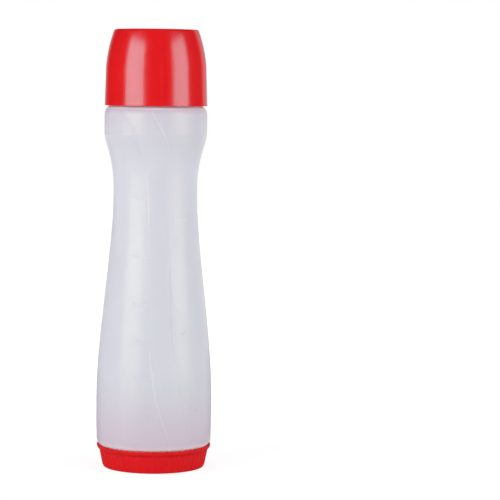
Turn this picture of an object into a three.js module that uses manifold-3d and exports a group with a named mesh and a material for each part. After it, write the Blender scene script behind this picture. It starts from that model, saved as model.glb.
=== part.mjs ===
// Batter dispenser bottle, in millimetres, +Z up, with its front towards -Y.
// It stands on its red base cap. Every profile is a list of (radius, height) points.
import * as THREE from "three";
import { mergeVertices } from "three/addons/utils/BufferGeometryUtils.js";
import Module from "manifold-3d";

const wasm = await Module();
wasm.setup();

// Clearances: between faces that press on each other, and between walls that slide or turn
const SEAT_GAP = 0.3;
const SIDE_GAP = 0.4;

// Bottle, blow-moulded in one piece: outer radii from the bottom to the top
const BOTTLE_WALL = 1.1;
const HEEL_RADIUS = 39.0;
const MOUTH_RADIUS = HEEL_RADIUS - 7.4;
const BELLY_RADIUS = HEEL_RADIUS + 0.4;
const WAIST_RADIUS = 28.4;
const BAND_RADIUS = 35.1;
const NECK_RADIUS = 20.5;

// Bottle: the height of each stretch, from the bottom to the top
const MOUTH_LENGTH = 9.0;
const HEEL_RISE = 5.9;
const HEEL_TO_BELLY = 28.4;
const BELLY_TO_WAIST = 141.5;
const WAIST_TO_BAND = 42.8;
const BAND_LENGTH = 7.5;
const SHOULDER_RISE = 8.8;
const NECK_LENGTH = 14.5;

// Bottle: how full its curves are. Handles are shares of their stretch, the others are lengths.
const BELLY_HANDLE = 0.305;
const WAIST_HANDLE = 0.277;
const WAIST_TOP_HANDLE = 0.42;
const BAND_EDGE_HANDLE = 0.173;
const BAND_EDGE_SHARE = 0.21;
const BAND_EDGE_DROP = 1.0;
const BAND_EDGE_LEAN = 2.0;
const SHOULDER_HANDLE = 0.56;
const SHOULDER_REACH = 2.6;
const HEEL_HANDLE = 0.6;
const HEEL_REACH = 1.2;

// Screw threads: both are right-handed
const NECK_PITCH = 4.0;
const NECK_THREAD_TURNS = 1.4;
const NECK_THREAD_HEIGHT = 1.5;
const NECK_THREAD_WIDTH = 1.9;
const NECK_THREAD_START = 4.2;
const MOUTH_PITCH = 3.2;
const MOUTH_THREAD_TURNS = 1.1;
const MOUTH_THREAD_HEIGHT = 1.2;
const MOUTH_THREAD_WIDTH = 1.5;
const MOUTH_THREAD_START = 1.5;
const CREST_SHARE = 0.5;
const THREAD_RUN_OUT = 0.08;
const THREAD_ROOT = 0.5;
const RUN_OUT_DEPTH = 0.1;

// The two raised lines that run down the front in an S. Each point is its share of the height
// from the heel to the top of the band, and its angle in degrees from the front towards +X.
const LINE_HEIGHT = 0.4;
const LINE_WIDTH = 1.3;
const LEFT_LINE = [
  [0.0, 16.5],
  [0.1, 5.0],
  [0.2, -1.2],
  [0.32, -4.5],
  [0.5, -6.0],
  [0.69, -7.6],
  [0.78, -9.5],
  [0.89, -16.5],
  [0.95, -24.0],
  [0.99, -37.0],
];
const RIGHT_LINE = [
  [0.0, 42.5],
  [0.1, 32.6],
  [0.2, 25.7],
  [0.32, 21.7],
  [0.5, 21.4],
  [0.69, 25.7],
  [0.78, 25.7],
  [0.89, 17.5],
  [0.95, 8.0],
  [0.99, -1.0],
];

// Base cap, the ribbed cup that closes the wide mouth
const BASE_FOOT_RECESS = 0.9;
const BASE_FLOOR = 1.7;
const BASE_FOOT_WIDTH = 2.4;
const BASE_CORNER = 1.2;
const BASE_BORE = MOUTH_RADIUS + MOUTH_THREAD_HEIGHT + SIDE_GAP;
const BASE_WALL_BOTTOM_RADIUS = BASE_BORE + 1.5;
const BASE_WALL_TOP_RADIUS = BASE_BORE + 3.7;
const BASE_LIP_DROP = 3.9;
const BASE_LIP_RADIUS = HEEL_RADIUS - 0.05;
const BASE_LIP_EDGE = 0.8;
const BASE_LIP_COVER = 0.375;
const BASE_LIP_ROLL = 0.3;
const RIB_COUNT = 52;
const RIB_HEIGHT = 0.4;
const RIB_WIDTH = 0.9;

// Seals
const BASE_SEAL_THICKNESS = 1.4;
const BASE_SEAL_WIDTH = 2.6;
const NECK_SEAL_THICKNESS = 1.4;
const NECK_SEAL_WIDTH = 2.3;

// Nozzle collar, the screw closure with the spout
const COLLAR_WALL = 2.2;
const COLLAR_CLEARANCE = 0.8;
const FLANGE_THICKNESS = 2.0;
const DECK_THICKNESS = 1.8;
const SPOUT_RISE = 19.0;
const SPOUT_FOOT_RADIUS = 13.0;
const SPOUT_TIP_RADIUS = 9.8;
const SPOUT_WALL = 1.8;
const SPOUT_BORE = 5.6;

// Valve and the ring that holds it in the spout
const VALVE_RADIUS = 7.6;
const VALVE_FLANGE = 1.6;
const VALVE_SKIN = 0.8;
const VALVE_DIP = 2.0;
const SLIT_WIDTH = 0.3;
const SLIT_LENGTH = 7.0;
const RETAINER_HEIGHT = 2.4;
const RETAINER_BORE = 6.0;

// Overcap, the smooth dome
const OVERCAP_WALL = 1.8;
const OVERCAP_EDGE_RADIUS = BAND_RADIUS + 0.2;
const OVERCAP_SIDE_RADIUS = OVERCAP_EDGE_RADIUS - 0.7;
const OVERCAP_BROW_RADIUS = OVERCAP_SIDE_RADIUS - 5.1;
const OVERCAP_SIDE = 23.9;
const OVERCAP_DOME = 26.8;
const OVERCAP_CORNER = 1.5;
const BROW_REACH = 3.4;
const BROW_HANDLE = 0.36;
const SKIRT_DROP = 5.2;
const STOP_HEIGHT = 1.6;
const STOP_WIDTH = 1.2;

// The handle that makes a Bezier curve follow a quarter circle, as a share of its radius
const ROUND = 0.55;

// How finely round forms are cut
const SIDES = 40;
const SMALL_SIDES = 32;
const STEPS_PER_TURN = 24;
const LINE_STEPS = 28;

// Heights of the seats, worked out from the sizes above
const floorTop = BASE_FOOT_RECESS + BASE_FLOOR;
const baseSealBottom = floorTop + SEAT_GAP;
const mouthRim = baseSealBottom + BASE_SEAL_THICKNESS + SEAT_GAP;
const shelf = mouthRim + MOUTH_LENGTH;
const heelTop = shelf + HEEL_RISE;
const belly = heelTop + HEEL_TO_BELLY;
const waist = belly + BELLY_TO_WAIST;
const bandBottom = waist + WAIST_TO_BAND;
const bandTop = bandBottom + BAND_LENGTH;
const neckFoot = bandTop + SHOULDER_RISE;
const neckTop = neckFoot + NECK_LENGTH;
const flangeBottom = neckFoot + COLLAR_CLEARANCE;
const flangeTop = flangeBottom + FLANGE_THICKNESS;
const neckSealBottom = neckTop + SEAT_GAP;
const deckBottom = neckSealBottom + NECK_SEAL_THICKNESS + SEAT_GAP;
const deckTop = deckBottom + DECK_THICKNESS;
const spoutTip = deckTop + SPOUT_RISE;
const retainerTop = spoutTip;
const retainerBottom = retainerTop - RETAINER_HEIGHT;
const valveTop = retainerBottom - SEAT_GAP;
const valveSeat = valveTop - VALVE_FLANGE - SEAT_GAP;
const stopBottom = flangeTop + SEAT_GAP;
const overcapEdge = stopBottom - SKIRT_DROP;
const overcapSide = overcapEdge + OVERCAP_SIDE;
const overcapBrow = overcapSide + OVERCAP_DOME;
const overcapTop = overcapBrow + OVERCAP_CORNER;

const point = (radius, height) => new THREE.Vector2(radius, height);
const curve = (a, b, c, d, steps) => new THREE.CubicBezierCurve(a, b, c, d).getPoints(steps);

// Joins stretches of a profile, leaving out the points that two stretches share.
function joined(...stretches) {
  const all = stretches.flat();
  return all.filter((p, i) => i === 0 || p.distanceTo(all[i - 1]) > 1e-6);
}

// The same profile moved sideways by a wall's thickness: to the left of its direction of travel.
function offset(profile, distance) {
  const leftOf = (a, b) => point(a.y - b.y, b.x - a.x).normalize();
  return profile.map((p, i) => {
    const before = leftOf(profile[Math.max(i - 1, 0)], profile[Math.max(i, 1)]);
    const last = profile.length - 1;
    const after = leftOf(profile[Math.min(i, last - 1)], profile[Math.min(i + 1, last)]);
    const middle = before.clone().add(after).normalize();
    return p.clone().addScaledVector(middle, distance / middle.dot(before));
  });
}

// A solid of revolution from a closed profile, with its first side at the front.
function turned(profile, sides = SIDES) {
  const geometry = new THREE.LatheGeometry([...profile, profile[0]], sides);
  return solid(geometry.rotateX(Math.PI / 2));
}

function ring(inner, outer, bottom, top, sides = SIDES) {
  const profile = [point(inner, bottom), point(outer, bottom), point(outer, top), point(inner, top)];
  return turned(profile, sides);
}

function solid(geometry) {
  const bare = geometry.clone();
  bare.deleteAttribute("normal");
  bare.deleteAttribute("uv");
  const merged = mergeVertices(bare);
  return new wasm.Manifold(
    new wasm.Mesh({
      numProp: 3,
      vertProperties: merged.attributes.position.array,
      triVerts: new Uint32Array(merged.index.array),
    }),
  );
}

// A straight bar of the given section, in steps, with each of its points moved by place(x, y, share).
function bent(section, steps, place) {
  const bar = new THREE.ExtrudeGeometry(new THREE.Shape(section), {
    depth: 1,
    steps,
    bevelEnabled: false,
  });
  const position = bar.getAttribute("position");
  for (let i = 0; i < position.count; i++) {
    const to = place(position.getX(i), position.getY(i), position.getZ(i));
    position.setXYZ(i, to.x, to.y, to.z);
  }
  return solid(bar);
}

// The three-sided section of a ridge with this height and width above its wall, and as deep in the wall
function ridgeSection(height, width) {
  return [point(-height, -width), point(height, 0), point(-height, width)];
}

function around(radius, degrees, height) {
  const angle = THREE.MathUtils.degToRad(degrees);
  return new THREE.Vector3(radius * Math.sin(angle), -radius * Math.cos(angle), height);
}

// A screw thread's ridge, which stands out of a wall of the given radius by rise, inwards if negative.
function thread({ radius, rise, width, pitch, turns, start }) {
  const root = -Math.sign(rise) * THREAD_ROOT;
  const crest = (width * CREST_SHARE) / 2;
  const section = [
    point(-width / 2, root),
    point(width / 2, root),
    point(crest, rise),
    point(-crest, rise),
  ];
  const steps = Math.ceil(turns * STEPS_PER_TURN);
  return bent(section, steps, (along, out, share) => {
    const fullness = Math.min(1, share / THREAD_RUN_OUT, (1 - share) / THREAD_RUN_OUT);
    const stands = out * root > 0 ? out : out * fullness + root * RUN_OUT_DEPTH * (1 - fullness);
    return around(radius + stands, 360 * turns * share, start + along + pitch * turns * share);
  });
}

// The bottle's outer profile, from the rim of the wide mouth up to the rim of the neck
const heelProfile = curve(
  point(MOUTH_RADIUS, shelf),
  point(HEEL_RADIUS - HEEL_REACH, shelf),
  point(HEEL_RADIUS - HEEL_REACH / 4, heelTop - HEEL_HANDLE * HEEL_RISE),
  point(HEEL_RADIUS, heelTop),
  5,
);
const bandEdge = point(BAND_RADIUS - BAND_EDGE_DROP, bandBottom - BAND_EDGE_SHARE * WAIST_TO_BAND);
const bottleProfile = joined(
  [point(MOUTH_RADIUS, mouthRim)],
  heelProfile,
  curve(
    point(HEEL_RADIUS, heelTop),
    point(BELLY_RADIUS, heelTop + HEEL_TO_BELLY / 3),
    point(BELLY_RADIUS, belly - HEEL_TO_BELLY / 3),
    point(BELLY_RADIUS, belly),
    2,
  ),
  curve(
    point(BELLY_RADIUS, belly),
    point(BELLY_RADIUS, belly + BELLY_HANDLE * BELLY_TO_WAIST),
    point(WAIST_RADIUS, waist - WAIST_HANDLE * BELLY_TO_WAIST),
    point(WAIST_RADIUS, waist),
    10,
  ),
  curve(
    point(WAIST_RADIUS, waist),
    point(WAIST_RADIUS, waist + WAIST_TOP_HANDLE * WAIST_TO_BAND),
    point(bandEdge.x - BAND_EDGE_LEAN, bandEdge.y - BAND_EDGE_HANDLE * WAIST_TO_BAND),
    bandEdge,
    6,
  ),
  curve(
    bandEdge,
    point(BAND_RADIUS - BAND_EDGE_DROP / 5, THREE.MathUtils.lerp(bandEdge.y, bandBottom, 1 / 3)),
    point(BAND_RADIUS, THREE.MathUtils.lerp(bandEdge.y, bandBottom, 2 / 3)),
    point(BAND_RADIUS, bandBottom),
    2,
  ),
  curve(
    point(BAND_RADIUS, bandTop),
    point(BAND_RADIUS, bandTop + SHOULDER_HANDLE * SHOULDER_RISE),
    point(BAND_RADIUS - SHOULDER_REACH, neckFoot),
    point(NECK_RADIUS, neckFoot),
    6,
  ),
  [point(NECK_RADIUS, neckTop)],
);

// The bottle's outer radius at a height between the heel and the top of the band
function bottleRadius(height) {
  const above = bottleProfile.findIndex((p) => p.x > NECK_RADIUS && p.y > height);
  const [low, high] = [bottleProfile[above - 1], bottleProfile[above]];
  return THREE.MathUtils.mapLinear(height, low.y, high.y, low.x, high.x);
}

function raisedLine(points) {
  const route = new THREE.SplineCurve(points.map(([share, degrees]) => point(share, degrees)));
  const section = ridgeSection(LINE_HEIGHT, LINE_WIDTH);
  return bent(section, LINE_STEPS, (out, across, share) => {
    const at = route.getPoint(share);
    const height = THREE.MathUtils.lerp(heelTop, bandTop, at.x);
    const radius = bottleRadius(height);
    const degrees = at.y + THREE.MathUtils.radToDeg(across / radius);
    return around(radius + out, degrees, height);
  });
}

const neckThread = {
  radius: NECK_RADIUS,
  rise: NECK_THREAD_HEIGHT,
  width: NECK_THREAD_WIDTH,
  pitch: NECK_PITCH,
  turns: NECK_THREAD_TURNS,
  start: neckFoot + NECK_THREAD_START,
};
const mouthThread = {
  radius: MOUTH_RADIUS,
  rise: MOUTH_THREAD_HEIGHT,
  width: MOUTH_THREAD_WIDTH,
  pitch: MOUTH_PITCH,
  turns: MOUTH_THREAD_TURNS,
  start: mouthRim + MOUTH_THREAD_START,
};

// The thread inside a cap that runs half a pitch below or above the bottle's own.
function matingThread(outside, boreRadius, halfPitches) {
  const start = outside.start + (halfPitches * outside.pitch) / 2;
  return thread({ ...outside, radius: boreRadius, rise: -outside.rise, start });
}

function makeBottle() {
  const inner = offset(bottleProfile, BOTTLE_WALL).reverse();
  return turned([...bottleProfile, ...inner])
    .add(thread(neckThread))
    .add(thread(mouthThread))
    .add(raisedLine(LEFT_LINE))
    .add(raisedLine(RIGHT_LINE));
}

function makeBaseCap() {
  const lipTop = shelf + BASE_LIP_COVER * HEEL_RISE;
  const bowl = offset(heelProfile, -SIDE_GAP).filter((p) => p.x > BASE_BORE && p.y < lipTop - SEAT_GAP);
  const wallTop = lipTop - BASE_LIP_DROP;
  const footRadius = BASE_WALL_BOTTOM_RADIUS - BASE_CORNER;
  const outside = joined(
    [point(0, BASE_FOOT_RECESS), point(footRadius - BASE_FOOT_WIDTH, BASE_FOOT_RECESS)],
    [point(footRadius - BASE_FOOT_WIDTH, 0)],
    curve(
      point(footRadius, 0),
      point(footRadius + ROUND * BASE_CORNER, 0),
      point(BASE_WALL_BOTTOM_RADIUS, (1 - ROUND) * BASE_CORNER),
      point(BASE_WALL_BOTTOM_RADIUS, BASE_CORNER),
      3,
    ),
    curve(
      point(BASE_WALL_TOP_RADIUS, wallTop),
      point(BASE_LIP_RADIUS + BASE_LIP_ROLL, wallTop + BASE_LIP_DROP / 4),
      point(BASE_LIP_RADIUS + BASE_LIP_ROLL, lipTop),
      point(BASE_LIP_RADIUS - BASE_LIP_EDGE / 2, lipTop),
      6,
    ),
  );
  const inside = [
    ...bowl.reverse(),
    point(BASE_BORE, shelf - SIDE_GAP),
    point(BASE_BORE, floorTop),
    point(0, floorTop),
  ];
  const cup = turned([...outside, ...inside], RIB_COUNT);
  return withRibs(cup, wallTop).add(matingThread(mouthThread, BASE_BORE, 1));
}

// Fine upright ribs on the cup's tapering wall, from just above the foot to just under the lip
function withRibs(cup, wallTop) {
  const lean = (BASE_WALL_TOP_RADIUS - BASE_WALL_BOTTOM_RADIUS) / (wallTop - BASE_CORNER);
  const section = ridgeSection(RIB_HEIGHT, RIB_WIDTH);
  let ribbed = cup;
  for (let i = 0; i < RIB_COUNT; i++) {
    const rib = bent(section, 1, (out, across, share) => {
      const height = THREE.MathUtils.lerp(BASE_CORNER, wallTop + RIB_HEIGHT, share);
      const wall = BASE_WALL_BOTTOM_RADIUS + lean * (height - BASE_CORNER);
      const degrees = (360 * i) / RIB_COUNT + THREE.MathUtils.radToDeg(across / wall);
      return around(wall + out, degrees, height);
    });
    ribbed = ribbed.add(rib);
  }
  return ribbed;
}

function makeBaseSeal() {
  const inner = MOUTH_RADIUS - BOTTLE_WALL / 2 - BASE_SEAL_WIDTH / 2;
  const top = baseSealBottom + BASE_SEAL_THICKNESS;
  return ring(inner, inner + BASE_SEAL_WIDTH, baseSealBottom, top);
}

function makeNeckSeal() {
  const outer = NECK_RADIUS + NECK_THREAD_HEIGHT;
  const top = neckSealBottom + NECK_SEAL_THICKNESS;
  return ring(outer - NECK_SEAL_WIDTH, outer, neckSealBottom, top);
}

function makeCollar() {
  const bore = NECK_RADIUS + NECK_THREAD_HEIGHT + SIDE_GAP;
  const skirt = bore + COLLAR_WALL;
  const flange = OVERCAP_EDGE_RADIUS - OVERCAP_WALL - SIDE_GAP;
  const seatBore = VALVE_RADIUS + SEAT_GAP;
  const body = turned([
    point(bore, flangeBottom),
    point(flange, flangeBottom),
    point(flange, flangeTop),
    point(skirt, flangeTop),
    point(skirt, deckTop - COLLAR_WALL / 2),
    point(skirt - COLLAR_WALL / 2, deckTop),
    point(SPOUT_FOOT_RADIUS, deckTop),
    point(SPOUT_TIP_RADIUS, valveSeat),
    point(SPOUT_TIP_RADIUS, spoutTip),
    point(seatBore, spoutTip),
    point(seatBore, valveSeat),
    point(SPOUT_BORE, valveSeat),
    point(SPOUT_BORE, valveSeat - SPOUT_WALL),
    point(SPOUT_FOOT_RADIUS - SPOUT_WALL, deckBottom),
    point(bore, deckBottom),
  ]);
  return body.add(matingThread(neckThread, bore, -1));
}

// A thin dished skin inside a thicker rim, with two crossed slits that the batter pushes open
function makeValve() {
  const bottom = valveSeat + SEAT_GAP;
  const skinRadius = SPOUT_BORE - SIDE_GAP;
  const skin = curve(
    point(skinRadius, bottom),
    point(skinRadius, bottom - VALVE_DIP),
    point(skinRadius / 2, bottom - VALVE_DIP),
    point(0, bottom - VALVE_DIP),
    4,
  );
  const underside = skin.reverse();
  const upperside = underside.map((p) => point(p.x * (1 - VALVE_SKIN / skinRadius), p.y + VALVE_SKIN));
  const rim = [point(VALVE_RADIUS, bottom), point(VALVE_RADIUS, valveTop)];
  const profile = [...underside, ...rim, point(upperside.at(-1).x, valveTop), ...upperside.reverse()];
  let valve = turned(profile, SMALL_SIDES);
  for (const [x, y] of [
    [SLIT_LENGTH, SLIT_WIDTH],
    [SLIT_WIDTH, SLIT_LENGTH],
  ]) {
    const slit = new THREE.BoxGeometry(x, y, 4 * VALVE_DIP).translate(0, 0, bottom);
    valve = valve.subtract(solid(slit));
  }
  return valve;
}

function makeRetainer() {
  return ring(RETAINER_BORE, VALVE_RADIUS, retainerBottom, retainerTop, SMALL_SIDES);
}

function makeOvercap() {
  const side = point(OVERCAP_SIDE_RADIUS, overcapSide);
  const brow = point(OVERCAP_BROW_RADIUS, overcapBrow);
  const dome = curve(
    side,
    point(OVERCAP_SIDE_RADIUS, overcapSide + OVERCAP_DOME / 4),
    point(OVERCAP_BROW_RADIUS + BROW_REACH, overcapBrow - BROW_HANDLE * OVERCAP_DOME),
    brow,
    8,
  );
  const corner = curve(
    brow,
    point(OVERCAP_BROW_RADIUS - (1 - ROUND) * OVERCAP_CORNER / 2, overcapBrow + ROUND * OVERCAP_CORNER),
    point(OVERCAP_BROW_RADIUS - (1 - ROUND) * OVERCAP_CORNER, overcapTop),
    point(OVERCAP_BROW_RADIUS - OVERCAP_CORNER, overcapTop),
    3,
  );
  const outer = joined([point(OVERCAP_EDGE_RADIUS, overcapEdge)], dome, corner);
  const wall = offset(joined([outer[0]], dome), OVERCAP_WALL);
  const inner = [
    ...wall.filter((p) => p.y < overcapTop - 2 * OVERCAP_WALL),
    point(OVERCAP_BROW_RADIUS - 2 * OVERCAP_WALL, overcapTop - OVERCAP_WALL),
    point(0, overcapTop - OVERCAP_WALL),
  ];
  inner[0].y = overcapEdge;
  const shell = turned([...outer, point(0, overcapTop), ...inner.reverse()]);
  const stopInner = OVERCAP_EDGE_RADIUS - OVERCAP_WALL - STOP_WIDTH;
  const stopOuter = OVERCAP_EDGE_RADIUS - OVERCAP_WALL / 2;
  return shell.add(ring(stopInner, stopOuter, stopBottom, stopBottom + STOP_HEIGHT));
}

function geometryOf(manifold) {
  const mesh = manifold.getMesh();
  const geometry = new THREE.BufferGeometry();
  const stride = mesh.numProp;
  const positions = new Float32Array(mesh.numVert * 3);
  for (let i = 0; i < mesh.numVert; i++) {
    positions.set(mesh.vertProperties.subarray(i * stride, i * stride + 3), i * 3);
  }
  geometry.setAttribute("position", new THREE.BufferAttribute(positions, 3));
  geometry.setIndex(new THREE.BufferAttribute(new Uint32Array(mesh.triVerts), 1));
  geometry.computeVertexNormals();
  return geometry;
}

// Finishes
const redPlastic = new THREE.MeshStandardMaterial({ color: 0xd8181f, roughness: 0.28 });
const milkyPlastic = new THREE.MeshStandardMaterial({
  color: 0xdcdce6,
  roughness: 0.45,
  transparent: true,
  opacity: 0.9,
});
const clearSilicone = new THREE.MeshStandardMaterial({ color: 0xe9e9e6, roughness: 0.5 });
const whitePlastic = new THREE.MeshStandardMaterial({ color: 0xf2f2f0, roughness: 0.35 });

function piece(name, shape, material) {
  const mesh = new THREE.Mesh(geometryOf(shape), material);
  mesh.name = name;
  return mesh;
}

const batterBottle = new THREE.Group();
batterBottle.add(
  piece("bottle", makeBottle(), milkyPlastic),
  piece("base_cap", makeBaseCap(), redPlastic),
  piece("base_seal", makeBaseSeal(), clearSilicone),
  piece("neck_seal", makeNeckSeal(), clearSilicone),
  piece("nozzle_collar", makeCollar(), whitePlastic),
  piece("valve", makeValve(), clearSilicone),
  piece("valve_retainer", makeRetainer(), whitePlastic),
  piece("overcap", makeOvercap(), redPlastic),
);

export default batterBottle;
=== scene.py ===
# A batter dispenser bottle: a waisted milky bottle between a smooth red overcap and a ribbed red base cap.
# Sizes are in millimetres, and a profile is a list of (radius, height). They become metres when a
# mesh is made. The front is towards -Y, and angles run from it towards +X, in degrees.
import math

import bmesh
import bpy
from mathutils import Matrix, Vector


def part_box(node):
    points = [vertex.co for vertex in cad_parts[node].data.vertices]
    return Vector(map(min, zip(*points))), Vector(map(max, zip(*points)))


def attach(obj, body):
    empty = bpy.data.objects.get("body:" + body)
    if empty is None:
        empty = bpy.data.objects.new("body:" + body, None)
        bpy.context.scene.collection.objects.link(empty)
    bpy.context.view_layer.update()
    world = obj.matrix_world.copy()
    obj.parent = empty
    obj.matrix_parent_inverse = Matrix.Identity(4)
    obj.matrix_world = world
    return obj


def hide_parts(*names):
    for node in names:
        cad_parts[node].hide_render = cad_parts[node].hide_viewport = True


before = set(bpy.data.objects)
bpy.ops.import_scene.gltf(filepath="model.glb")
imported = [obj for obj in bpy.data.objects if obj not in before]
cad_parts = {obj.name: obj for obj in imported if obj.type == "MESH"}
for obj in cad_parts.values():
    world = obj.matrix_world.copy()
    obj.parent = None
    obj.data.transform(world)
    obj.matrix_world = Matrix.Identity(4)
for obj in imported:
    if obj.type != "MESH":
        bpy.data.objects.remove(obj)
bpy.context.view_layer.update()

MM = 0.001


def reach(node):
    """A CAD node's outer radius, its lowest height and its highest, in millimetres."""
    low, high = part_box(node)
    return high.x / MM, low.z / MM, high.z / MM


# Clearances, as in the construction
SEAT_GAP = 0.3
SIDE_GAP = 0.4

# Bottle. A handle is the share of a curve's height that its end keeps to its own direction.
BELLY_RADIUS, MOUTH_RIM, NECK_TOP = reach("bottle")
BOTTLE_WALL = 1.1
HEEL_RADIUS = BELLY_RADIUS - 0.4
MOUTH_RADIUS = HEEL_RADIUS - 7.4
WAIST_RADIUS = 28.4
BAND_RADIUS = 34.9
NECK_RADIUS = 20.5
MOUTH_LENGTH = 9.0
HEEL_RISE = 5.9
HEEL_TO_BELLY = 28.4
BELLY_TO_WAIST = 141.5
WAIST_TO_BAND = 42.8
BAND_LENGTH = 7.5
SHOULDER_RISE = 8.8
BELLY_HANDLE = 0.305
WAIST_HANDLE = 0.277
WAIST_TOP_HANDLE = 0.42
BAND_EDGE_HANDLE = 0.173
BAND_EDGE_SHARE = 0.21
BAND_EDGE_DROP = 1.0
BAND_EDGE_LEAN = 2.0
# A fine crease below the band: how far down, its half height and how far its wall lies in
BAND_CREASE = 4.4
CREASE_HALF = 0.2
CREASE_INSET = 0.13
SHOULDER_HANDLE = 0.66
SHOULDER_REACH = 1.8
HEEL_HANDLE = 0.52
HEEL_REACH = 1.6
RIM_ROUND = 0.35

SHELF = MOUTH_RIM + MOUTH_LENGTH
HEEL_TOP = SHELF + HEEL_RISE
BELLY = HEEL_TOP + HEEL_TO_BELLY
WAIST = BELLY + BELLY_TO_WAIST
BAND_BOTTOM = WAIST + WAIST_TO_BAND
BAND_TOP = BAND_BOTTOM + BAND_LENGTH
NECK_FOOT = BAND_TOP + SHOULDER_RISE

# Screw threads: how far the ridge stands out, its width, pitch and turns, and the height it starts at
NECK_THREAD = {"rise": 1.5, "width": 1.9, "pitch": 4.0, "turns": 1.4, "start": NECK_FOOT + 4.2}
MOUTH_THREAD = {"rise": 1.2, "width": 1.5, "pitch": 3.2, "turns": 1.1, "start": MOUTH_RIM + 1.5}
THREAD_CREST = 0.5
THREAD_RUN_OUT = 0.08
THREAD_STEP = 0.3

# The two raised lines: their share of the height from the heel to the top of the band, and their angle
LEFT_LINE = [
    (0.0, 16.5),
    (0.1, 5.0),
    (0.2, -1.2),
    (0.32, -4.5),
    (0.5, -6.0),
    (0.69, -7.6),
    (0.78, -9.5),
    (0.89, -16.5),
    (0.95, -24.0),
    (0.99, -33.0),
    (1.015, -41.0),
]
RIGHT_LINE = [
    (0.0, 42.5),
    (0.1, 32.6),
    (0.2, 25.7),
    (0.32, 21.7),
    (0.5, 21.4),
    (0.69, 25.7),
    (0.78, 25.7),
    (0.89, 17.5),
    (0.95, 8.0),
    (0.99, 0.5),
    (1.015, -4.0),
]
LINE_HEIGHT = 0.38
LINE_HALF_WIDTH = 1.1
# How much of its height each line has, at shares of the way up
LEFT_LEVELS = [
    (0.0, 1.3),
    (0.04, 1.3),
    (0.09, 1.0),
    (0.2, 1.0),
    (0.26, 0.6),
    (0.34, 0.15),
    (0.62, 0.15),
    (0.68, 0.6),
    (0.8, 0.6),
    (0.86, 0.25),
    (0.93, 0.4),
    (0.96, 1.0),
]
RIGHT_LEVELS = [(0.0, 1.2), (0.1, 1.0), (0.5, 1.0), (0.7, 0.7), (0.78, 0.5), (0.88, 0.4), (0.93, 0.9)]
LINE_FADE = 3.0
LINE_TOP = BAND_TOP + 4.0
LINE_COLUMNS = [-1.6, -1.25, -1.0, -0.8, -0.6, -0.4, -0.2, 0.0, 0.2, 0.4, 0.6, 0.8, 1.0, 1.25, 1.6]
COLUMNS_BETWEEN = 22
COLUMNS_BEHIND = 110

# Volume marks, in millilitres on the left and cups on the right, with the height of each
LEFT_MARKS = [
    ("200ml", 185.3),
    ("300ml", 145.8),
    ("400ml", 114.4),
    ("500ml", 89.7),
    ("600ml", 65.7),
    ("700ml", 43.5),
]
RIGHT_MARKS = [("1cup", 170.7), ("2cups", 95.7), ("3cups", 42.3)]
FIGURE_HEIGHT = 3.2
FIGURE_WIDTH = 1.55
MARK_RISE = 0.12
MARK_SINK = 0.3
MARK_GAP = 1.5
DASH_LENGTH = 2.2
DASH_WIDTH = 0.4
DASH_TO_FIGURES = 0.8
BOX_FACES = [[3, 2, 1, 0], [4, 5, 6, 7], [0, 1, 5, 4], [1, 2, 6, 5], [2, 3, 7, 6], [3, 0, 4, 7]]

# Base cap
_, FOOT, LIP_TOP = reach("base_cap")
BASE_FOOT_RECESS = 0.9
BASE_FLOOR = 1.7
BASE_FOOT_WIDTH = 2.4
BASE_CORNER = 1.2
BASE_BORE = MOUTH_RADIUS + MOUTH_THREAD["rise"] + SIDE_GAP
BASE_WALL_BOTTOM_RADIUS = BASE_BORE + 1.5
BASE_WALL_TOP_RADIUS = BASE_BORE + 3.7
BASE_LIP_DROP = 3.9
BASE_LIP_RADIUS = HEEL_RADIUS - 0.05
BASE_LIP_EDGE = 0.8
BASE_LIP_ROLL = 0.3
WALL_STEPS = 12
RIB_COUNT = 52
RIB_HEIGHT = 0.35
RIB_COLUMNS = [-0.55, -0.36, -0.2, 0.0, 0.2, 0.36, 0.55]
RIB_GAP_COLUMNS = 4
RIB_END = 0.8
# Small teeth on the lip's inner edge: how far they stand in, how far the edge dips between two, and the
# share of their spacing that one takes
TOOTH_HEIGHT = 0.2
TOOTH_DIP = 1.6
TOOTH_SHARE = 0.8
TOOTH_SHARES = (0.2, 0.6, 1.0, 1.0, 0.6)
LIP_CLOSE = 0.22
LIP_INSIDE_DROP = 0.35
LIP_INSIDE_STEP = 0.12
BOWL_DROP = 0.9

# Nozzle collar, valve and retainer
FLANGE_RADIUS, FLANGE_BOTTOM, SPOUT_TIP = reach("nozzle_collar")
VALVE_RADIUS, _, VALVE_TOP = reach("valve")
COLLAR_WALL = 2.2
FLANGE_THICKNESS = 2.0
DECK_THICKNESS = 1.8
SPOUT_RISE = 19.0
SPOUT_FOOT_RADIUS = 13.0
SPOUT_TIP_RADIUS = 9.8
SPOUT_WALL = 1.8
SPOUT_BORE = 5.6
VALVE_FLANGE = 1.6
VALVE_SKIN = 0.8
VALVE_DIP = 2.0
SLIT_WIDTH = 0.3
SLIT_LENGTH = 7.0
RETAINER_BORE = 6.0
GRIP_COUNT = 60
GRIP_DEPTH = 0.3
GRIP_FLAT = 0.375

# Overcap
OVERCAP_REACH, SKIRT_BOTTOM, OVERCAP_TOP = reach("overcap")
OVERCAP_EDGE = SKIRT_BOTTOM + 0.6
OVERCAP_EDGE_RADIUS = OVERCAP_REACH - 0.5
OVERCAP_WALL = 1.3
OVERCAP_SIDE_RADIUS = OVERCAP_EDGE_RADIUS - 0.7
OVERCAP_BROW_RADIUS = OVERCAP_SIDE_RADIUS - 5.1
OVERCAP_SIDE = SKIRT_BOTTOM + 23.9
OVERCAP_DOME = 26.8
OVERCAP_BROW = OVERCAP_SIDE + OVERCAP_DOME
BROW_REACH = 3.4
BROW_HANDLE = 0.36
BROW_LEAN = 0.45
SKIRT_DROP = 4.6
STOP_HEIGHT = 1.6
STOP_WIDTH = 1.2

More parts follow.
